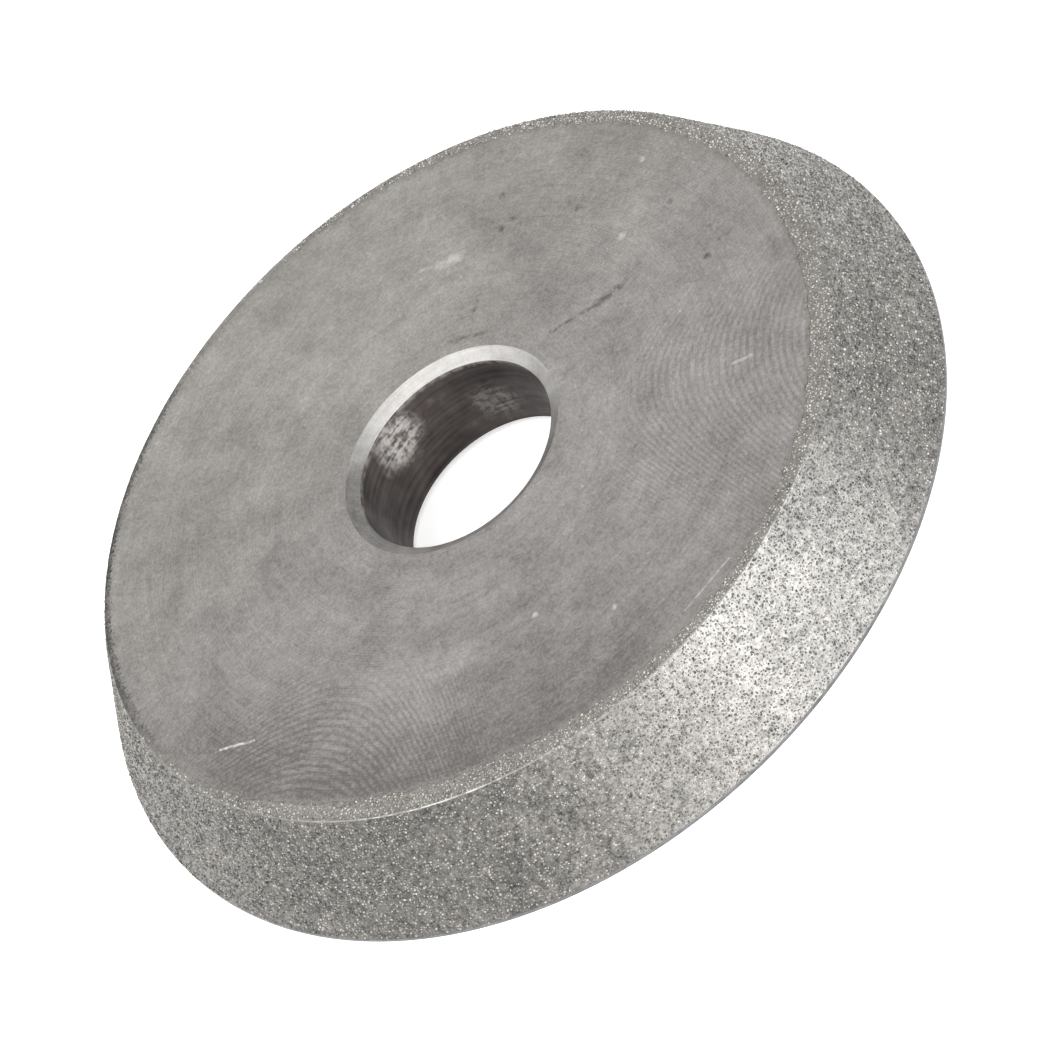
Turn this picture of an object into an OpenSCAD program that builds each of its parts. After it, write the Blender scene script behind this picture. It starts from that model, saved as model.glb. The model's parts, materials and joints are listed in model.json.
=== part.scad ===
// Electroplated diamond grinding wheel with a bevelled rim: a turned steel blank, the nickel
// layer plated on its bevel, and the diamond grains that the nickel holds.
// The wheel lies on its back face. Z runs along the bore, from the wide face to the narrow one.

/* [Wheel] */
// Diameter over the coating, at the rim
wheel_d = 70; // [60:1:100]
// Thickness between the two flat faces
wheel_t = 8.5; // [7:0.5:12]
// Diameter of the arbor bore
bore_d = 16; // [10:0.5:25]

/* [Bevel] */
// Angle between the bevel and the axis of the wheel
bevel_angle = 30; // [15:1:40]
// Height of the bare steel land at the rim
rim_land = 0.35; // [0.2:0.05:0.8]
// Size of the broken corner on the back of the rim
corner_break = 0.1; // [0.05:0.05:0.15]

/* [Bore edges] */
// Width of the bore chamfers, measured along the faces
chamfer_w = 0.95; // [0.5:0.05:1.5]
// Depth of the bore chamfers, measured along the axis
chamfer_h = 0.6; // [0.3:0.05:1]

/* [Coating] */
// Thickness of the nickel that holds the grains
bond_t = 0.15; // [0.1:0.01:0.2]
// Mean width of the coating's lap on the narrow face
lap_w = 1.4; // [1.2:0.1:2.5]
// How far the edge of the lap wanders to each side
lap_wander = 0.5; // [0:0.05:0.6]
// How much narrower the lap gets on its thin side, as a share of its width
lap_fade = 0.8; // [0:0.05:0.8]

/* [Grit] */
// Edge length of one grain
grain = 0.25; // [0.2:0.01:0.3]
// Number of grains on the bevel
bevel_grains = 360; // [50:10:500]
// Number of grains on the lap
lap_grains = 48; // [12:2:60]

/* [Hidden] */
$fn = 96;

wheel_r = wheel_d / 2;
bore_r = bore_d / 2;
// The coating lies in a seat cut into the steel, so it ends flush with the land and the face.
seat_z = wheel_t - bond_t;
face_r = wheel_r - (wheel_t - rim_land) * tan(bevel_angle);
seat_rim_r = wheel_r - bond_t / cos(bevel_angle);
seat_r = seat_rim_r - (seat_z - rim_land) * tan(bevel_angle);
slant = (seat_z - rim_land) / cos(bevel_angle);
lap_points = 120;
thin_side = 135;
least_lap = 0.25;
clear = 1;

// Spread of the grains: the golden angle gives an even cover without rows.
golden_angle = 137.50776;
seat_gap = 0.005;
edge_margin = 0.5;
max_tilt = 45;
// Grains stand on the lap only where its seat is at least this wide.
grain_room = 3.2 * grain;

// Width of the lap at an azimuth: two slow waves that sum to at most lap_wander, on a band that
// narrows towards its thin side.
function lap_wave(a) = 0.65 * cos(3 * a + 24) + 0.35 * cos(4 * a + 160);
function thinness(a) = pow((1 + cos(a - thin_side)) / 2, 3);
function lap_width(a) =
    max(least_lap, (lap_w + lap_wander * lap_wave(a)) * (1 - lap_fade * thinness(a)));

// Inner edge of the lap at an azimuth.
function lap_r(a) = face_r - lap_width(a);

module lap_outline()
    polygon([for (i = [0:lap_points - 1])
        let (a = 360 * i / lap_points) lap_r(a) * [cos(a), sin(a)]]);

// The blank as one turned profile, before the seat of the lap is cut.
module turned_blank()
    rotate_extrude()
        polygon([
            [bore_r, chamfer_h],
            [bore_r + chamfer_w, 0],
            [wheel_r - corner_break, 0],
            [wheel_r, corner_break],
            [wheel_r, rim_land],
            [seat_rim_r, rim_land],
            [seat_r, seat_z],
            [seat_r, wheel_t],
            [bore_r + chamfer_w, wheel_t],
            [bore_r, wheel_t - chamfer_h],
        ]);

// Steel blank: the bore, both faces, the rim land, and the shallow seat of the coating.
module steel_blank()
    color("darkgray")
        difference() {
            turned_blank();
            translate([0, 0, seat_z])
                linear_extrude(bond_t + clear)
                    difference() {
                        circle(r = wheel_r + clear);
                        lap_outline();
                    }
        }

// Nickel bond: one thin skin over the bevel that turns in over the edge of the narrow face.
module nickel_bond()
    color("silver")
        difference() {
            rotate_extrude()
                polygon([
                    [seat_rim_r, rim_land],
                    [wheel_r, rim_land],
                    [face_r, wheel_t],
                    [face_r - lap_w - lap_wander - clear, wheel_t],
                    [face_r - lap_w - lap_wander - clear, seat_z],
                    [seat_r, seat_z],
                ]);
            translate([0, 0, seat_z - clear])
                linear_extrude(bond_t + 2 * clear)
                    lap_outline();
        }

// One diamond grain, turned by spin and tilt, that stands on the plane z = 0.
module grain_on_seat(spin, tilt)
    translate([0, 0, seat_gap + grain / 2 * (cos(tilt) + sin(tilt))])
        rotate([tilt, 0, spin])
            cube(grain, center = true);

// Puts its children on the steel cone, at a distance along the slant, with +Z as the normal.
module on_bevel(azimuth, along)
    rotate([0, 0, azimuth])
        translate([
            seat_rim_r - along * sin(bevel_angle),
            0,
            rim_land + along * cos(bevel_angle),
        ])
            rotate([0, 90 - bevel_angle, 0])
                children();

// Puts its children on the seat of the lap, between its inner edge (0) and the bevel (1).
module on_lap(azimuth, share)
    rotate([0, 0, azimuth])
        translate([lap_r(azimuth) + share * (seat_r - lap_r(azimuth)), 0, seat_z])
            children();

// Diamond grit: separate grains, each half buried in the nickel.
module diamond_grit() {
    spins = rands(0, 90, bevel_grains + lap_grains, 3);
    tilts = rands(0, max_tilt, bevel_grains + lap_grains, 5);
    color("gainsboro") {
        for (i = [0:bevel_grains - 1])
            on_bevel(i * golden_angle,
                     edge_margin + (slant - 2 * edge_margin) * (i + 0.5) / bevel_grains)
                grain_on_seat(spins[i], tilts[i]);
        for (i = [0:lap_grains - 1])
            if (seat_r - lap_r(360 * i / lap_grains) > grain_room)
                on_lap(360 * i / lap_grains, i % 2 == 0 ? 0.35 : 0.65)
                    grain_on_seat(spins[bevel_grains + i], tilts[bevel_grains + i]);
    }
}

steel_blank();
nickel_bond();
diamond_grit();
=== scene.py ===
"""A bevelled diamond grinding wheel, lying on its wide back face on a pale floor.

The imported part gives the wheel's main sizes. Three visible things are built around it: the
turned steel blank, the nickel plated on its bevel, and the single layer of diamond grains in it.
The wheel's lengths are in millimetres until make_piece() and the camera turn them into metres.
The floor and the lights are placed in metres.
"""

import json
import math

import bmesh
import bpy
import numpy as np
from mathutils import Matrix, Vector, noise

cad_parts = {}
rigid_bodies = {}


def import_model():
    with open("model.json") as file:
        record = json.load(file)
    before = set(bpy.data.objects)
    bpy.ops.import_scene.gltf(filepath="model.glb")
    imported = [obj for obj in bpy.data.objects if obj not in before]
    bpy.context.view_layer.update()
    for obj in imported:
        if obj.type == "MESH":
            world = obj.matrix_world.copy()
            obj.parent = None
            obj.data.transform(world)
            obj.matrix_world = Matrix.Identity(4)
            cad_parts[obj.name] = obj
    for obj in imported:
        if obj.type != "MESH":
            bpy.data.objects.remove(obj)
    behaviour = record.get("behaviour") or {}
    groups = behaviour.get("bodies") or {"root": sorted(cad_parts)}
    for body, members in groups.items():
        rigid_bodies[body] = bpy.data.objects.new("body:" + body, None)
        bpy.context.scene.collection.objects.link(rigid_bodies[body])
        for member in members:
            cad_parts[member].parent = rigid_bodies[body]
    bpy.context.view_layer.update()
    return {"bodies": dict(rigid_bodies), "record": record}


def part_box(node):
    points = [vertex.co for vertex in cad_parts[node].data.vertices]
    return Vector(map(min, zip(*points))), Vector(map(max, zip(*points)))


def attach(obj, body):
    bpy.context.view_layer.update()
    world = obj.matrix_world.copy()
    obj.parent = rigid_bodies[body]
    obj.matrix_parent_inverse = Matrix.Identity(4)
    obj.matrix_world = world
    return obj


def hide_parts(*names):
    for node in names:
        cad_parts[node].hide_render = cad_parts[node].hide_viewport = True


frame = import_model()

# ---------------------------------------------------------------- sizes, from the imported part

MM = 0.001
BODY = next(iter(frame["bodies"]))
bore = next(m for m in frame["record"]["mounts"] if m["name"] == "bore")["dims"]
blank_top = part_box("steel_blank")[1] / MM
bond_low, bond_top = (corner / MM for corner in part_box("nickel_bond"))

THICKNESS = blank_top.z
BORE_R = bore["r_mm"]
CHAMFER_H = (THICKNESS - bore["length_mm"]) / 2
WHEEL_R = bond_top.x
LAND = bond_low.z

# These and the lap's sizes are the same as in the part's source.
CHAMFER_W = 0.95
BEVEL = math.radians(30)
BOND_T = 0.15
FACE_R = WHEEL_R - (THICKNESS - LAND) * math.tan(BEVEL)
SEAT_Z = THICKNESS - BOND_T
SEAT_RIM_R = WHEEL_R - BOND_T / math.cos(BEVEL)
SEAT_R = SEAT_RIM_R - (SEAT_Z - LAND) * math.tan(BEVEL)
SLANT = (THICKNESS - LAND) / math.cos(BEVEL)

LAP_W = 1.4
LAP_WANDER = 0.5
LAP_FADE = 0.8
THIN_SIDE = math.radians(135)
SEGMENTS = 576


def thinness(azimuth):
    """1 on the side where the coating's lap is thinnest, 0 on the other side."""
    return ((1 + np.cos(azimuth - THIN_SIDE)) / 2) ** 3


def lap_width(azimuth):
    """Width of the lap on the narrow face: two slow waves on a band that thins to one side."""
    wave = 0.65 * np.cos(3 * azimuth + math.radians(24)) + 0.35 * np.cos(
        4 * azimuth + math.radians(160)
    )
    return (LAP_W + LAP_WANDER * wave) * (1 - LAP_FADE * thinness(azimuth))


def lap_edge(azimuth):
    """Radius where the nickel ends on the narrow face, with a ragged edge where it is wide."""
    ragged = noise.noise(Vector((math.cos(azimuth), math.sin(azimuth), 0)) * 28)
    fine = noise.noise(Vector((math.cos(azimuth), math.sin(azimuth), 1)) * 90)
    width = lap_width(azimuth)
    share = min(1.0, width / 1.2) ** 1.5
    return FACE_R - width + share * (0.26 * ragged + 0.14 * fine)


def toward(azimuth, elevation):
    """The direction at an azimuth from +X and an elevation, both in degrees."""
    a, e = math.radians(azimuth), math.radians(elevation)
    return Vector((math.cos(a) * math.cos(e), math.sin(a) * math.cos(e), math.sin(e)))


def cosine(degrees):
    return math.cos(math.radians(degrees))


# ---------------------------------------------------------------- mesh tools

# Rounding a corner gives the curve's points and one more before and after it.
CORNER_STEPS = 4
CORNER_POINTS = CORNER_STEPS + 3
FLAT_MARGIN = 1.6


def make_piece(name, vertices, faces, materials, zones=None):
    """A piece of the wheel that rides on the wheel's body, from vertices in millimetres."""
    mesh = bpy.data.meshes.new(name)
    mesh.from_pydata((np.asarray(vertices) * MM).tolist(), [], faces)
    for material in materials:
        mesh.materials.append(material)
    if zones is not None:
        mesh.polygons.foreach_set("material_index", zones)
    mesh.update()
    piece = bpy.data.objects.new(name, mesh)
    bpy.context.scene.collection.objects.link(piece)
    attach(piece, BODY)
    return piece


def rounded(corners):
    """A closed (radius, height) outline whose corners (radius, height, round, zone) are rounded.

    Each point carries the zone of the stretch that follows it. A point just outside each round
    keeps the flat stretches flat when the mesh is shaded smooth.
    """
    points = []
    for k, (radius, height, size, zone) in enumerate(corners):
        before = corners[k - 1]
        after = corners[(k + 1) % len(corners)]
        corner = Vector((radius, height))
        back = (Vector(before[:2]) - corner).normalized()
        ahead = (Vector(after[:2]) - corner).normalized()
        reach = size / math.tan(back.angle(ahead) / 2)
        start, end = corner + back * reach, corner + ahead * reach
        points.append((*(corner + back * reach * FLAT_MARGIN), before[3]))
        for step in range(CORNER_STEPS + 1):
            t = step / CORNER_STEPS
            curve = start * (1 - t) ** 2 + corner * (2 * t * (1 - t)) + end * t**2
            points.append((*curve, zone))
        points.append((*(corner + ahead * reach * FLAT_MARGIN), zone))
    return points


def lathe(outline_at):
    """Vertices, faces and zones of a ring whose closed outline may change with the azimuth."""
    vertices = []
    for i in range(SEGMENTS):
        azimuth = 2 * math.pi * i / SEGMENTS
        outline = outline_at(azimuth)
        for radius, height, _ in outline:
            vertices.append((radius * math.cos(azimuth), radius * math.sin(azimuth), height))
    count = len(outline)
    faces, zones = [], []
    for i in range(SEGMENTS):
        here, there = i * count, (i + 1) % SEGMENTS * count
        for j in range(count):
            k = (j + 1) % count
            faces.append((here + j, there + j, there + k, here + k))
            zones.append(outline[j][2])
    return vertices, faces, zones


def shade_smooth(piece):
    """Smooth shading, with a sharp edge kept wherever the surface turns by more than 50 degrees."""
    piece.data.shade_smooth()
    piece.data.set_sharp_from_angle(angle=math.radians(50))


# ---------------------------------------------------------------- material tools


class Shader:
    """A material under construction. Each method adds nodes and returns the output socket."""

    def __init__(self, name):
        self.material = bpy.data.materials.new(name)
        self.material.use_nodes = True
        self.tree = self.material.node_tree
        self.surface = self.tree.nodes["Principled BSDF"]
        place = self.tree.nodes.new("ShaderNodeTexCoord").outputs["Object"]
        self.place = self.vector("SCALE", place, scale=1 / MM)
        split = self.add("ShaderNodeSeparateXYZ", {0: self.place})
        self.x, self.y, self.z = split.outputs
        flat = self.add("ShaderNodeCombineXYZ", {0: self.x, 1: self.y}).outputs[0]
        self.radius = self.measure("LENGTH", flat)
        self.around = self.vector("NORMALIZE", flat)

    def add(self, kind, inputs, **settings):
        node = self.tree.nodes.new(kind)
        for key, value in settings.items():
            setattr(node, key, value)
        for key, value in inputs.items():
            if isinstance(value, bpy.types.NodeSocket):
                self.tree.links.new(value, node.inputs[key])
            else:
                node.inputs[key].default_value = value
        return node

    def calc(self, operation, *values):
        return self.add("ShaderNodeMath", dict(enumerate(values)), operation=operation).outputs[0]

    def vector(self, operation, *values, scale=None):
        inputs = dict(enumerate(values))
        if scale is not None:
            inputs["Scale"] = scale
        return self.add("ShaderNodeVectorMath", inputs, operation=operation).outputs[0]

    def measure(self, operation, *vectors):
        """A length, a distance or a dot product."""
        inputs = dict(enumerate(vectors))
        return self.add("ShaderNodeVectorMath", inputs, operation=operation).outputs[1]

    def noise(self, scale, detail=2.0, rough=0.5, at=None):
        """Noise from 0 to 1 with scale features per millimetre."""
        inputs = {"Vector": at or self.place, "Scale": scale, "Detail": detail, "Roughness": rough}
        return self.add("ShaderNodeTexNoise", inputs).outputs[0]

    def fade(self, value, start, end, low=0.0, high=1.0):
        """Goes smoothly from low at start to high at end."""
        inputs = {0: value, 1: start, 2: end, 3: low, 4: high}
        return self.add(
            "ShaderNodeMapRange", inputs, interpolation_type="SMOOTHSTEP"
        ).outputs[0]

    def blend(self, factor, first, second):
        """A colour between two colours."""
        inputs = {0: factor, 6: first, 7: second}
        return self.add("ShaderNodeMix", inputs, data_type="RGBA").outputs[2]

    def total(self, *terms, start=0.0):
        """start and the sum of (weight, value) terms."""
        result = start
        for weight, value in terms:
            inputs = {0: value, 1: weight, 2: result}
            result = self.add("ShaderNodeMath", inputs, operation="MULTIPLY_ADD").outputs[0]
        return result

    def vary(self, middle, *terms):
        """A value that varies about its middle with (weight, noise) terms."""
        return self.total(*terms, start=middle - sum(weight for weight, _ in terms) / 2)

    def rings(self, pitch, spread, detail=2.0):
        """Noise drawn out along circles round the bore, pitch apart."""
        across = self.calc("DIVIDE", self.radius, pitch)
        depth = self.calc("DIVIDE", self.z, pitch)
        along = self.vector("SCALE", self.around, scale=spread)
        lift = self.add("ShaderNodeCombineXYZ", {0: across, 1: depth}).outputs[0]
        at = self.vector("ADD", self.vector("MULTIPLY", along, (0.7, 1.3, 0)), lift)
        return self.noise(1.0, detail, 0.5, at=at)

    def spot(self, centre, size, soft=1.0, ragged=0.0, scale=2.0):
        """1 within size of a place, fading to 0 over soft, with an edge ragged by noise."""
        gap = self.measure("DISTANCE", self.place, centre)
        if ragged:
            gap = self.total((1.0, gap), (-2 * ragged, self.noise(scale, 4.0, 0.65)))
            size = size - ragged
        return self.fade(gap, size, size + soft, 1.0, 0.0)

    def stroke(self, start, end, width, ragged):
        """1 on a line from start to end, fading to 0 at width from it. Noise bends the line."""
        start, end = Vector(start), Vector(end)
        line = end - start
        wobble = self.vector("SCALE", self.colour_noise(1.6), scale=ragged)
        here = self.vector("SUBTRACT", self.vector("ADD", self.place, wobble), start)
        along = self.measure("DOT_PRODUCT", here, line / line.length_squared)
        along = self.add("ShaderNodeClamp", {0: along}).outputs[0]
        nearest = self.vector("SCALE", tuple(line), scale=along)
        gap = self.measure("DISTANCE", here, nearest)
        return self.fade(gap, 0.0, width, 1.0, 0.0)

    def colour_noise(self, scale):
        """Noise as a vector about zero."""
        inputs = {"Vector": self.place, "Scale": scale, "Detail": 3.0}
        colour = self.add("ShaderNodeTexNoise", inputs).outputs[1]
        return self.vector("SUBTRACT", colour, (0.5, 0.5, 0.5))

    def finish(self, colour, rough, height=None, depth=0.0, **constants):
        """Connects the surface. Height from 0 to 1 stands for depth millimetres."""
        self.tree.links.new(colour, self.surface.inputs["Base Color"])
        self.tree.links.new(rough, self.surface.inputs["Roughness"])
        if height is not None:
            inputs = {"Height": height, "Distance": depth * MM, "Strength": 1.0}
            bump = self.add("ShaderNodeBump", inputs)
            self.tree.links.new(bump.outputs[0], self.surface.inputs["Normal"])
        for name, value in constants.items():
            self.surface.inputs[name.replace("_", " ")].default_value = value
        return self.material


# ---------------------------------------------------------------- steel

FEED = 0.22

# A fine turned surface shades itself at grazing angles, so it brightens less there than a
# polished one does.
GRAZING_STEEL = (0.55, 0.55, 0.55, 1)
STEEL_DARK = (0.15, 0.144, 0.138, 1)
STEEL_LIGHT = (0.545, 0.514, 0.508, 1)
STEEL_WARM = (0.545, 0.527, 0.496, 1)

PIT_COLOUR = (0.055, 0.048, 0.042, 1)
SCRATCH_COLOUR = (0.88, 0.87, 0.85, 1)

# How near a point of the narrow face is to the lap: 0 away from it, 1 at the nickel's edge.
NEAR_LAP = "near_lap"
FRINGE_W = 1.1

# Marks on the narrow face: pits and light spots as (centre, size), stained and bright scratches
# as (start, end, width, strength).
PITS = [
    ((15.9, 16.8), 0.34),
    ((15.2, 14.0), 0.34),
    ((14.0, 14.1), 0.32),
    ((18.8, 10.7), 0.24),
    ((19.0, 9.7), 0.32),
    ((23.7, 3.0), 0.26),
    ((23.0, 2.9), 0.30),
    ((22.5, -4.1), 0.34),
    ((24.2, -1.9), 0.22),
    ((8.4, 9.4), 0.30),
]
LIGHT_SPOTS = [
    ((19.6, 3.9), 0.42),
    ((24.8, 8.6), 0.34),
    ((-3.6, -18.6), 0.30),
    ((0.6, -23.3), 0.26),
]
DARK_STROKES = [
    ((11.1, 1.6), (14.6, 0.4), 0.34, 0.8),
    ((14.6, 0.4), (16.9, 0.0), 0.62, 1.0),
    ((16.9, 0.0), (18.9, 0.3), 0.36, 0.5),
    ((24.0, -3.6), (25.0, -3.6), 0.40, 0.7),
    ((5.4, 8.6), (7.7, 6.7), 0.42, 0.8),
]
BRIGHT_STROKES = [
    ((8.8, 16.1), (10.3, 15.2), 0.80, 0.36),
    ((7.6, 17.1), (9.3, 15.8), 0.40, 0.24),
    ((-26.2, -6.5), (-24.0, -8.2), 0.17, 0.9),
    ((18.0, -14.0), (19.3, -14.7), 0.24, 0.36),
    ((3.8, -28.1), (8.3, -27.4), 0.12, 0.45),
]


def chatter(s, azimuth, middle, squash, pitch, inner):
    """Faint arcs where the tool chattered, in a fan about the azimuth called middle.

    The arcs are level lines of the radius, times squash, less the distance toward azimuth.
    """
    depth = s.measure("DOT_PRODUCT", s.place, toward(azimuth, 0))
    phase = s.total((squash / pitch, s.radius), (-1 / pitch, depth))
    phase = s.total((0.9, s.noise(0.8, 3.0, 0.6)), start=phase)
    wave = s.calc("SINE", s.total((2 * math.pi, phase)))
    wave = s.fade(wave, -0.9, 0.5, -1.0, 0.6)
    facing = s.measure("DOT_PRODUCT", s.around, toward(middle, 0))
    near = s.fade(facing, cosine(34), cosine(10))
    reach = s.fade(s.radius, inner, inner + 8)
    return s.calc("MULTIPLY", wave, s.calc("MULTIPLY", near, reach))


def painted_rim_shade(s):
    """1 on a stretch of the lap near 147 degrees, where shade is painted into the nickel."""
    facing = s.measure("DOT_PRODUCT", s.around, toward(147, 0))
    span = s.fade(facing, cosine(42), cosine(20))
    return s.calc("MULTIPLY", span, s.fade(s.z, THICKNESS - 0.35, THICKNESS - 0.15))


def plated_colour(s):
    """The colour of the nickel: nodular, in patches, a little lighter where it lies flat, and
    darkened with painted shade along one stretch of the lap.
    """
    nodules = s.noise(6.0, 4.0, 0.65)
    cluster = s.noise(2.2, 3.0, 0.65)
    smudge = s.noise(0.6, 3.0, 0.65)
    patch = s.noise(0.12, 3.0, 0.6)
    tone = s.vary(0.5, (1.7, nodules), (1.3, cluster), (0.55, smudge), (0.7, patch))
    tone = s.total((0.42, s.fade(s.z, THICKNESS - 0.12, THICKNESS - 0.05)), start=tone)
    # Painted shade: the nickel is darkened along that stretch of the lap's edge.
    tone = s.total((-0.62, painted_rim_shade(s)), start=tone)
    return s.blend(tone, (0.051, 0.049, 0.046, 1), (0.273, 0.263, 0.246, 1))


def turned_face():
    """The flat faces: fine feed marks, chatter, stains, pits and scratches, with painted glints,
    painted shade on two sides, and a painted slope from light to dark.
    """
    s = Shader("turned_face")
    upper = s.fade(s.z, THICKNESS - 0.3, THICKNESS - 0.1)
    drift = s.noise(0.35, 2.0)
    feed = s.calc("SINE", s.total((2 * math.pi / FEED, s.radius), (5.0, drift)))
    fine = s.rings(0.16, 2.2, 3.0)
    broad = s.rings(1.1, 1.2, 2.0)
    stain = s.noise(0.10, 4.0, 0.6)
    smear = s.noise(0.33, 5.0, 0.65)
    grain = s.noise(4.5, 3.0, 0.7)
    mottle = s.noise(1.7, 3.0, 0.6)
    arcs = s.calc(
        "ADD",
        chatter(s, 324, 316, squash=0.73, pitch=0.155, inner=11),
        chatter(s, 214, 218, squash=0.78, pitch=0.137, inner=15),
    )
    arcs = s.calc("MULTIPLY", arcs, s.fade(mottle, 0.30, 0.65, 0.2, 1.3))
    # Painted shade, mottled: the outer face is darkened on its side towards 228 degrees.
    low_side = s.measure("DOT_PRODUCT", s.around, toward(228, 0))
    painted_low_shade = s.calc("MULTIPLY", s.fade(s.radius, 19.0, 28.0), s.fade(smear, 0.25, 0.65, 0.6))
    painted_low_shade = s.calc("MULTIPLY", painted_low_shade, s.fade(low_side, 0.3, 0.95))
    # Painted shade: the outer face is darkened on its side towards 24 degrees.
    far_side = s.measure("DOT_PRODUCT", s.around, toward(24, 0))
    painted_shade_patch = s.calc("MULTIPLY", s.fade(far_side, 0.7, 1.0), s.fade(s.radius, 12.0, 24.0))
    glint = s.fade(s.noise(2.6, 3.0, 0.6), 0.62, 0.72)
    glint = s.calc("MULTIPLY", glint, s.fade(stain, 0.4, 0.6))
    tone = s.vary(
        0.365,
        (0.24, fine),
        (0.16, broad),
        (0.45, stain),
        (0.50, smear),
        (0.75, grain),
        (0.35, mottle),
    )
    tone = s.total(
        (0.022, feed), (0.088, arcs), (-0.19, painted_low_shade), (-0.06, painted_shade_patch), (0.25, glint), start=tone
    )
    # Painted light and shade: the face is a little lighter towards +X and +Y and darker towards -X
    # and -Y.
    tone = s.total((0.0020, s.x), (0.0027, s.y), start=tone)
    pits = 0.0
    for (x, y), size in PITS:
        spot = s.spot((x, y, THICKNESS), size * 0.2, size * 1.2, 0.25, 3.0)
        pits = s.calc("MAXIMUM", pits, spot)
    for (x0, y0), (x1, y1), width, strength in DARK_STROKES:
        line = s.stroke((x0, y0, THICKNESS), (x1, y1, THICKNESS), width, 0.5)
        pits = s.calc("MAXIMUM", pits, s.calc("MULTIPLY", line, strength))
    pits = s.calc("MULTIPLY", pits, s.fade(s.noise(1.6, 4.0, 0.65), 0.38, 0.62, 0.10, 0.72))
    nicks = 0.0
    for (x, y), size in LIGHT_SPOTS:
        spot = s.spot((x, y, THICKNESS), size * 0.2, size, 0.2, 3.0)
        nicks = s.calc("MAXIMUM", nicks, s.calc("MULTIPLY", spot, 0.5))
    for (x0, y0), (x1, y1), width, strength in BRIGHT_STROKES:
        line = s.stroke((x0, y0, THICKNESS), (x1, y1, THICKNESS), width, 1.3 * width)
        nicks = s.calc("MAXIMUM", nicks, s.calc("MULTIPLY", line, strength))
    pits = s.calc("MULTIPLY", pits, upper)
    nicks = s.calc("MULTIPLY", nicks, s.fade(s.noise(2.2, 4.0, 0.65), 0.34, 0.60, 0.25, 0.9))
    nicks = s.calc("MULTIPLY", nicks, upper)
    cast = s.blend(s.fade(s.y, -20, 20), STEEL_LIGHT, STEEL_WARM)
    colour = s.blend(tone, STEEL_DARK, cast)
    fringe = s.add("ShaderNodeAttribute", {}, attribute_name=NEAR_LAP).outputs["Fac"]
    splash = s.noise(4.0, 3.0, 0.65)
    splash = s.fade(s.total((0.55, fringe), (1.0, splash)), 0.86, 1.06)
    splash = s.calc("MULTIPLY", splash, s.fade(fringe, 0.0, 0.3))
    colour = s.blend(splash, colour, plated_colour(s))
    colour = s.blend(pits, colour, PIT_COLOUR)
    colour = s.blend(nicks, colour, SCRATCH_COLOUR)
    rough = s.vary(0.42, (0.16, smear), (0.12, stain))
    rough = s.total((0.25, pits), (-0.12, nicks), start=rough)
    height = s.total(
        (0.25, feed), (0.8, fine), (0.25, broad), (0.12, arcs), (0.25, grain), (-2.0, pits)
    )
    return s.finish(colour, rough, height, 0.004, Metallic=1.0, Specular_Tint=GRAZING_STEEL)


def turned_edge():
    """The chamfers: cleaner cut metal with coarse rings and bruises, and a patch of painted shade
    on one side.
    """
    s = Shader("turned_edge")
    fine = s.rings(0.14, 2.0, 3.0)
    bruise = s.noise(0.8, 4.0, 0.65)
    grain = s.noise(5.0, 3.0, 0.7)
    # Painted shade: the chamfer is darkened round a spot on its -X side.
    painted_shade_patch = s.spot((-8.4, 1.6, THICKNESS), 3.6, 3.4, 0.8, 0.6)
    tone = s.vary(0.57, (0.40, fine), (0.65, bruise), (0.35, grain))
    tone = s.total((-0.35, painted_shade_patch), start=tone)
    colour = s.blend(tone, (0.13, 0.125, 0.12, 1), (0.58, 0.567, 0.548, 1))
    rough = s.vary(0.36, (0.25, bruise))
    height = s.total((0.8, fine), (0.4, grain), (0.6, bruise))
    return s.finish(colour, rough, height, 0.006, Metallic=1.0)


def bore_wall():
    """The bore: dark scale brushed round by the arbor, rubbed through to bright metal in places,
    and lighter just below its mouth by painted light.
    """
    s = Shader("bore_wall")
    brushed = s.rings(0.45, 1.3, 3.0)
    cloud = s.noise(0.28, 3.0, 0.6)
    speck = s.noise(1.7, 3.0, 0.6)
    tone = s.vary(0.34, (1.0, brushed), (1.3, cloud))
    dark = s.blend(tone, (0.009, 0.006, 0.006, 1), (0.110, 0.088, 0.080, 1))
    rubbed = s.spot((-2.4, 7.6, 5.9), 0.9, 2.0, 0.8, 0.9)
    faint = s.calc("MULTIPLY", s.spot((5.0, 6.2, 3.4), 0.5, 2.4, 0.8, 0.9), 0.28)
    worn = s.calc("MAXIMUM", rubbed, faint)
    worn = s.calc("MAXIMUM", worn, s.calc("MULTIPLY", s.fade(cloud, 0.60, 0.76), 0.25))
    streak = s.rings(0.30, 4.0, 3.0)
    mottle = s.fade(s.total((0.65, speck), (0.35, streak)), 0.40, 0.60, 0.08, 0.85)
    # Painted light and shade: the wall is lightened just below its mouth and left darker deeper in
    # the bore; from here worn carries this painted light as well as the rubbed wear.
    painted_mouth_light = s.fade(s.z, THICKNESS - CHAMFER_H - 0.6, THICKNESS - CHAMFER_H, 0.0, 0.45)
    worn = s.calc("MULTIPLY", s.calc("MAXIMUM", worn, painted_mouth_light), mottle)
    colour = s.blend(worn, dark, (0.62, 0.59, 0.56, 1))
    rough = s.vary(0.55, (0.25, speck))
    metal = s.fade(worn, 0.0, 1.0, 0.55, 1.0)
    s.tree.links.new(metal, s.surface.inputs["Metallic"])
    height = s.total((0.7, brushed), (0.5, speck))
    return s.finish(colour, rough, height, 0.010)


def rim_steel():
    """The bare land at the rim: smooth grey steel with small nicks."""
    s = Shader("rim_steel")
    fine = s.rings(0.10, 3.0, 2.0)
    nicks = s.noise(1.2, 4.0, 0.7)
    tone = s.vary(0.30, (0.25, fine), (0.9, nicks))
    colour = s.blend(tone, (0.06, 0.061, 0.064, 1), (0.38, 0.38, 0.385, 1))
    rough = s.vary(0.42, (0.3, nicks))
    return s.finish(colour, rough, s.total((0.6, fine), (0.8, nicks)), 0.008, Metallic=1.0)


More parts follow.
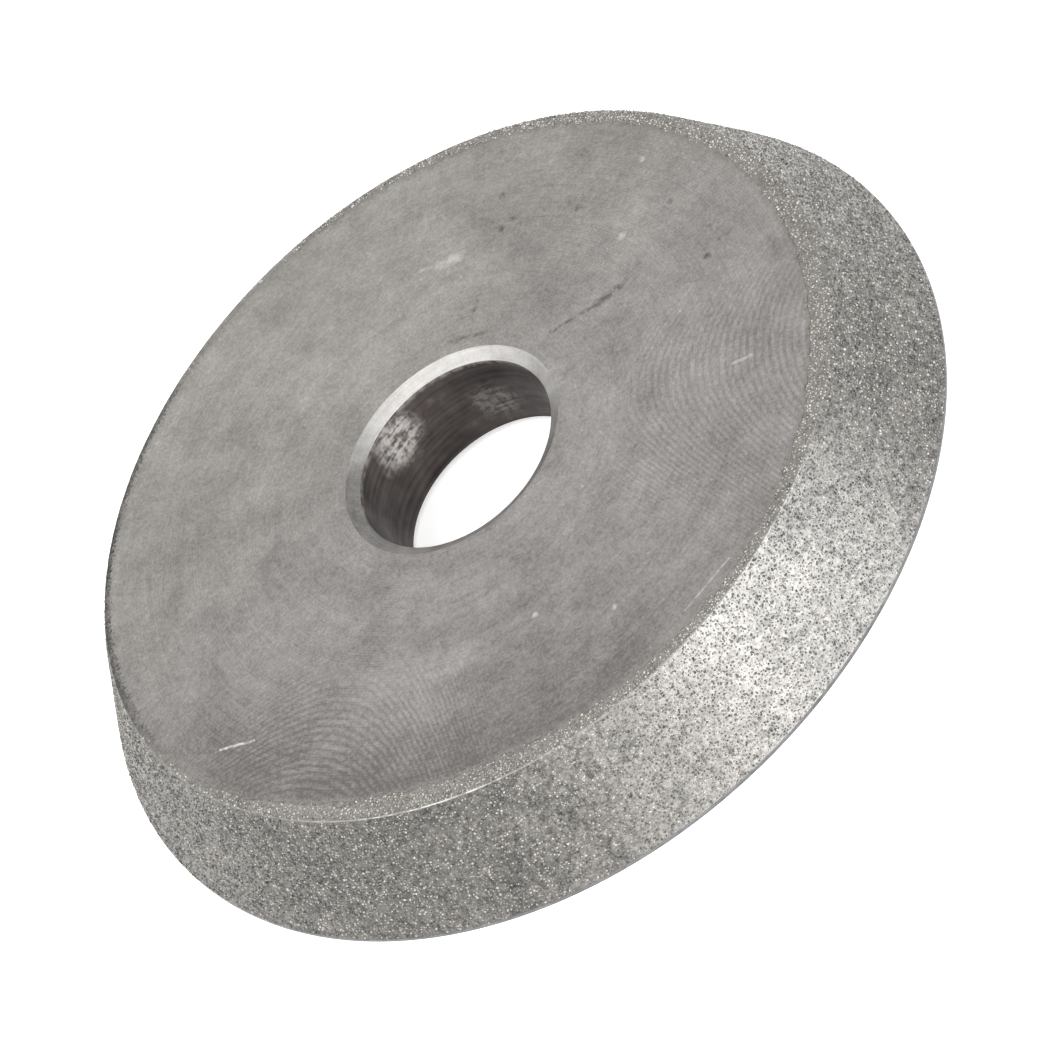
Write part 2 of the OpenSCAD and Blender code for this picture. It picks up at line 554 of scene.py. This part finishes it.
# The blank's materials, in the order of its material slots.
FACE, EDGE, WALL, RIM = range(4)

# The fringe begins one point before the outline's fourth corner, the nickel's edge on the face.
FRINGE_START = 3 * CORNER_POINTS


def fringe_width(azimuth):
    """How far flecks of nickel reach in from the lap's edge: furthest on the rough side."""
    rough_side = max(0.0, math.cos(azimuth - math.radians(192))) ** 6
    return FRINGE_W + 0.4 * rough_side


def blank_outline(azimuth):
    """The blank's closed outline, with a seat for the nickel that follows the lap's edge."""
    lap = lap_edge(azimuth)
    top, mouth = THICKNESS, BORE_R + CHAMFER_W
    outline = rounded(
        [
            (BORE_R, CHAMFER_H, 0.05, WALL),
            (BORE_R, top - CHAMFER_H, 0.05, EDGE),
            (mouth, top, 0.06, FACE),
            (lap + 0.06, top, 0.02, RIM),
            (lap + 0.12, SEAT_Z - 0.02, 0.01, RIM),
            (SEAT_R - 0.02, SEAT_Z - 0.02, 0.03, RIM),
            (SEAT_RIM_R - 0.02, LAND - 0.01, 0.01, RIM),
            (WHEEL_R, LAND - 0.01, 0.03, RIM),
            (WHEEL_R, 0.0, 0.08, FACE),
            (mouth, 0.0, 0.06, EDGE),
        ]
    )
    outline.insert(FRINGE_START, (lap - fringe_width(azimuth), top, FACE))
    return outline


vertices, faces, zones = lathe(blank_outline)
blank = make_piece(
    "turned_blank",
    vertices,
    faces,
    [turned_face(), turned_edge(), bore_wall(), rim_steel()],
    zones,
)
near_lap = np.zeros((SEGMENTS, len(vertices) // SEGMENTS))
near_lap[:, FRINGE_START + 1 : FRINGE_START + 1 + CORNER_POINTS] = 1.0
blank.data.attributes.new(NEAR_LAP, "FLOAT", "POINT").data.foreach_set("value", near_lap.ravel())
shade_smooth(blank)
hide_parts("steel_blank")

# ---------------------------------------------------------------- nickel

# The part of the edge between face and bevel that work has rubbed bright.
WORN_FROM, WORN_TO = math.radians(216), math.radians(251)
LUMP = 0.035


def nickel():
    """Plated nickel: nodular, grey, and bright where the edge is rubbed."""
    s = Shader("plated_nickel")
    nodules = s.noise(6.0, 4.0, 0.65)
    colour = plated_colour(s)
    middle = (WORN_FROM + WORN_TO) / 2
    facing = s.measure("DOT_PRODUCT", s.around, (math.cos(middle), math.sin(middle), 0))
    span = s.fade(facing, math.cos((WORN_TO - WORN_FROM) / 2), cosine(12))
    gap = s.calc("ABSOLUTE", s.total((1.0, s.radius), (-1.0, FACE_R - 0.03)))
    thin = s.fade(gap, 0.0, 0.055, 1.0, 0.0)
    high = s.fade(s.z, THICKNESS - 0.25, THICKNESS - 0.15)
    worn = s.calc("MULTIPLY", s.calc("MULTIPLY", span, thin), high)
    worn = s.calc("MULTIPLY", worn, s.fade(s.noise(0.9, 4.0, 0.65), 0.40, 0.58, 0.05, 0.75))
    colour = s.blend(worn, colour, (0.80, 0.79, 0.77, 1))
    rough = s.total((-0.08, worn), start=s.vary(0.38, (0.20, nodules)))
    return s.finish(colour, rough, nodules, 0.020, Metallic=1.0)


def bond_outline(azimuth):
    """The nickel's closed outline: bevel, rounded edge, lap, and a thin root under them."""
    lap = lap_edge(azimuth)
    slope = Vector((-math.sin(BEVEL), math.cos(BEVEL)))
    rim = Vector((WHEEL_R, LAND))
    bevel = [tuple(rim + slope * SLANT * t) for t in np.linspace(0.02, 0.97, 34)]
    flat = np.linspace(FACE_R - 0.17, lap + 0.05, 8)
    crown = rounded(
        [(*bevel[-1], 0.01, 0), (FACE_R, THICKNESS, 0.16, 0), (flat[0], THICKNESS, 0.01, 0)]
    )
    crown = crown[CORNER_POINTS : 2 * CORNER_POINTS]
    return (
        [(WHEEL_R - 0.02, LAND, 0)]
        + [(radius, height, 0) for radius, height in bevel]
        + crown
        + [(radius, THICKNESS, 0) for radius in flat]
        + [(lap + 0.01, THICKNESS - 0.01, 0), (lap, SEAT_Z, 0)]
        + [(SEAT_R, SEAT_Z, 0), (SEAT_RIM_R, LAND, 0)]
    )


def lumpy(vertices):
    """The plated surface rises and falls a little, as nickel grows unevenly over grains."""
    outer = FACE_R - 0.15
    moved = []
    for x, y, z in vertices:
        point = Vector((x, y, z))
        lump = noise.noise(point * 1.3) * 0.6 + noise.noise(point * 3.1) * 0.4
        shift = LUMP * (lump - 0.6)
        radius = math.hypot(x, y)
        if z > THICKNESS - 0.02 and radius < outer:
            moved.append((x, y, z + shift))
        elif z > LAND + 0.1 and radius > outer:
            outward = Vector((x, y, 0)).normalized() * math.cos(BEVEL)
            moved.append(tuple(point + (outward + Vector((0, 0, math.sin(BEVEL)))) * shift))
        else:
            moved.append((x, y, z))
    return moved


vertices, faces, zones = lathe(bond_outline)
faces = [face[::-1] for face in faces]
bond = make_piece("plated_bond", lumpy(vertices), faces, [nickel()])
shade_smooth(bond)
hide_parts("nickel_bond")

# ---------------------------------------------------------------- diamond grains

GRAIN_GAP = 0.235
GRAIN_JITTER = 0.24 * GRAIN_GAP
ROW_GAP = 0.866 * GRAIN_GAP
GRAIN_SIZES = (0.065, 0.110)
GRAIN_CORNERS = 9
GRAIN_SHAPES = 8
QUARTERS = 4
rng = np.random.default_rng(60)


def diamond():
    """Crushed synthetic diamond: each grain has its own tone, dark for most and pale for a few."""
    s = Shader("diamond_grain")
    own = s.tree.nodes.new("ShaderNodeNewGeometry").outputs["Random Per Island"]
    cloudy = s.noise(9.0, 2.0)
    cluster = s.noise(2.2, 3.0, 0.65)
    smudge = s.noise(0.6, 3.0, 0.65)
    bright_few = s.calc("POWER", own, 2.0)
    tone = s.vary(0.50, (0.90, bright_few), (0.5, cloudy), (1.3, cluster), (0.55, smudge))
    tone = s.total((0.30, s.fade(s.z, THICKNESS - 0.12, THICKNESS - 0.02)), start=tone)
    colour = s.blend(tone, (0.100, 0.097, 0.090, 1), (0.51, 0.492, 0.459, 1))
    rough = s.vary(0.58, (0.2, own))
    return s.finish(colour, rough, cloudy, 0.01, Metallic=0.9, IOR=2.42)


def crystals(count):
    """Uneven crushed crystals, each as its vertices and its triangles."""
    order = np.arange(GRAIN_CORNERS)
    level = (2 * order + 1) / GRAIN_CORNERS - 1
    spread = np.sqrt(1 - level**2)
    turn = order * math.pi * (3 - math.sqrt(5))
    ends = np.column_stack([spread * np.cos(turn), spread * np.sin(turn), level])
    shapes = []
    for _ in range(count):
        stretch = rng.uniform(0.75, 1.15, 3)
        points = ends * stretch + rng.normal(0, 0.12, ends.shape)
        solid = bmesh.new()
        for point in points:
            solid.verts.new(point)
        made = bmesh.ops.convex_hull(solid, input=solid.verts)
        inside = [v for v in made["geom_interior"] if isinstance(v, bmesh.types.BMVert)]
        bmesh.ops.delete(solid, geom=inside, context="VERTS")
        bmesh.ops.recalc_face_normals(solid, faces=solid.faces)
        solid.verts.index_update()
        corners = np.array([v.co for v in solid.verts])
        triangles = np.array([[v.index for v in f.verts] for f in solid.faces])
        shapes.append((corners, triangles))
        solid.free()
    return shapes


def grain_row(radius, level):
    """Azimuths and levels of a row of grains round a circle, each a little out of its place."""
    count = int(2 * math.pi * radius / GRAIN_GAP)
    azimuth = (np.arange(count) + rng.uniform()) * 2 * math.pi / count
    azimuth += rng.normal(0, GRAIN_JITTER, count) / radius
    return np.column_stack([azimuth % (2 * math.pi), level + rng.normal(0, GRAIN_JITTER, count)])


def around_axis(radius, azimuth, height):
    """Points or directions with these radii, azimuths and heights."""
    return np.column_stack([radius * np.cos(azimuth), radius * np.sin(azimuth), height])


def bevel_seats():
    """Centres, outward directions and azimuths of the grains spread over the bevel."""
    levels = np.arange(0.12, SLANT - 0.02, ROW_GAP)
    rows = [grain_row(WHEEL_R - level * math.sin(BEVEL), level) for level in levels]
    azimuth, slant = np.concatenate(rows).T
    slant = np.clip(slant, 0.06, SLANT - 0.03)
    worn = (azimuth > WORN_FROM) & (azimuth < WORN_TO) & (slant > SLANT - 0.12)
    bare = slant > SLANT - 0.05 - 0.35 * thinness(azimuth)
    azimuth, slant = azimuth[~worn & ~bare], slant[~worn & ~bare]
    radius = WHEEL_R - slant * math.sin(BEVEL)
    centre = around_axis(radius, azimuth, LAND + slant * math.cos(BEVEL))
    clump = np.array([noise.noise(Vector(spot) * 0.9) for spot in centre])
    kept = rng.uniform(size=azimuth.size) > np.clip(0.08 + 0.5 * clump, 0.02, 0.40)
    centre, azimuth = centre[kept], azimuth[kept]
    normal = around_axis(math.cos(BEVEL), azimuth, np.full(azimuth.size, math.sin(BEVEL)))
    return centre, normal, azimuth


def lap_seats():
    """Centres and outward directions of the grains between the lap's ragged edge and the bevel."""
    innermost = FACE_R - LAP_W - LAP_WANDER - 0.3
    rows = [grain_row(radius, radius) for radius in np.arange(innermost, FACE_R - 0.05, ROW_GAP)]
    azimuth, radius = np.concatenate(rows).T
    inner = np.array([lap_edge(a) for a in azimuth])
    share = np.clip((lap_width(azimuth) - 0.45) / 0.45, 0, 1)
    sparse = rng.uniform(size=azimuth.size) < (0.45 + 1.6 * (radius - inner)) * share
    worn = (azimuth > WORN_FROM) & (azimuth < WORN_TO) & (radius > FACE_R - 0.12)
    kept = (radius > inner + 0.08) & (radius < FACE_R - 0.02) & sparse & ~worn
    azimuth, radius = azimuth[kept], radius[kept]
    centre = around_axis(radius, azimuth, np.full(azimuth.size, THICKNESS))
    return centre, np.tile((0.0, 0.0, 1.0), (azimuth.size, 1))


def turns(count):
    """Random rotations, as matrices."""
    quaternions = rng.normal(size=(count, 4))
    w, x, y, z = quaternions.T / np.linalg.norm(quaternions, axis=1)
    return np.array(
        [
            [1 - 2 * (y * y + z * z), 2 * (x * y - z * w), 2 * (x * z + y * w)],
            [2 * (x * y + z * w), 1 - 2 * (x * x + z * z), 2 * (y * z - x * w)],
            [2 * (x * z - y * w), 2 * (y * z + x * w), 1 - 2 * (x * x + y * y)],
        ]
    ).transpose(2, 0, 1)


def strew(name, centre, normal, shapes, material):
    """One piece made of separate grains, each sunk to about half its size in the nickel."""
    count = len(centre)
    size = rng.uniform(*GRAIN_SIZES, count)
    sunk = size * rng.uniform(0.10, 0.45, count)
    spot = centre - normal * sunk[:, None]
    turn = turns(count) * size[:, None, None]
    kind = rng.integers(len(shapes), size=count)
    vertices, faces, base = [], [], 0
    for k, (corners, triangles) in enumerate(shapes):
        mine = kind == k
        placed = np.einsum("nij,vj->nvi", turn[mine], corners) + spot[mine][:, None, :]
        shift = base + np.arange(mine.sum())[:, None, None] * len(corners)
        vertices.append(placed.reshape(-1, 3))
        faces.append((triangles[None] + shift).reshape(-1, 3))
        base += placed.shape[0] * placed.shape[1]
    grains = make_piece(
        name, np.concatenate(vertices), np.concatenate(faces).tolist(), [material]
    )
    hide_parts("diamond_grit")


shapes = crystals(GRAIN_SHAPES)
grain_look = diamond()
centre, normal, azimuth = bevel_seats()
for quarter in range(QUARTERS):
    mine = (azimuth * QUARTERS / (2 * math.pi)).astype(int) == quarter
    strew(f"bevel_grains_{quarter + 1}", centre[mine], normal[mine], shapes, grain_look)
centre, normal = lap_seats()
strew("lap_grains", centre, normal, shapes, grain_look)

# ---------------------------------------------------------------- floor, light and camera

# The floor's own glow and the strong world keep the background white at every distance.
FLOOR_HALF = 2.0
FLOOR_GLOW = 0.45
WORLD_STRENGTH = 0.95


def pale_floor():
    """A matt white sheet with a very faint tooth."""
    s = Shader("pale_floor")
    tooth = s.noise(0.9, 3.0)
    colour = s.blend(tooth, (0.88, 0.88, 0.88, 1), (0.93, 0.93, 0.93, 1))
    rough = s.fade(tooth, 0.0, 1.0, 0.8, 0.95)
    glow = {"Emission_Color": (1, 1, 1, 1), "Emission_Strength": FLOOR_GLOW}
    return s.finish(colour, rough, tooth, 0.02, **glow)


mesh = bpy.data.meshes.new("floor")
corners = [(-1, -1), (1, -1), (1, 1), (-1, 1)]
mesh.from_pydata([(x * FLOOR_HALF, y * FLOOR_HALF, 0) for x, y in corners], [], [(0, 1, 2, 3)])
mesh.materials.append(pale_floor())
floor = bpy.data.objects.new("floor", mesh)
bpy.context.scene.collection.objects.link(floor)

world = bpy.data.worlds.new("studio")
world.use_nodes = True
background = world.node_tree.nodes["Background"]
background.inputs["Color"].default_value = (1.0, 0.995, 0.985, 1)
background.inputs["Strength"].default_value = WORLD_STRENGTH
bpy.context.scene.world = world


def softbox(name, azimuth, elevation, distance, width, height, power, colour=(1, 1, 1)):
    """A soft light that faces the wheel. Lengths are in metres and power is in watts."""
    light = bpy.data.lights.new(name, "AREA")
    light.color = colour
    light.shape = "RECTANGLE"
    light.size, light.size_y, light.energy = width, height, power
    lamp = bpy.data.objects.new(name, light)
    lamp.location = toward(azimuth, elevation) * distance
    lamp.rotation_euler = (-lamp.location).to_track_quat("-Z", "Y").to_euler()
    lamp.visible_camera = False
    bpy.context.scene.collection.objects.link(lamp)


softbox("overhead", 215, 72, 0.7, 0.9, 0.9, 3.2)
softbox("left_box", 145, 42, 0.8, 0.7, 0.5, 0.8)
softbox("low_key", 300, 16, 0.7, 0.76, 0.38, 5.5, (0.95, 0.965, 1.0))
softbox("low_fill", 255, 17, 0.7, 0.60, 0.40, 1.6)
softbox("far_fill", 95, 30, 0.8, 0.55, 0.40, 0.12)

# The camera looks along +Y and down, a little nearer than the wheel's middle, and is rolled.
# Angles are in degrees.
CAMERA_ELEVATION = 42.46
CAMERA_DISTANCE = 242.8
CAMERA_ROLL = -43.57
AIM = Vector((0.09, -11.37, THICKNESS))
camera_data = bpy.data.cameras.new("camera")
camera_data.sensor_width = 36.0
camera_data.lens = 120.48
camera_data.clip_start = 0.01
camera = bpy.data.objects.new("camera", camera_data)
back = toward(270, CAMERA_ELEVATION)
place = (AIM + back * CAMERA_DISTANCE) * MM
roll = Matrix.Rotation(math.radians(CAMERA_ROLL), 3, "Z")
facing = back.to_track_quat("Z", "Y").to_matrix() @ roll
camera.matrix_world = Matrix.LocRotScale(place, facing.to_quaternion(), None)
bpy.context.scene.collection.objects.link(camera)
bpy.context.scene.camera = camera
bpy.context.scene.view_settings.view_transform = "Standard"
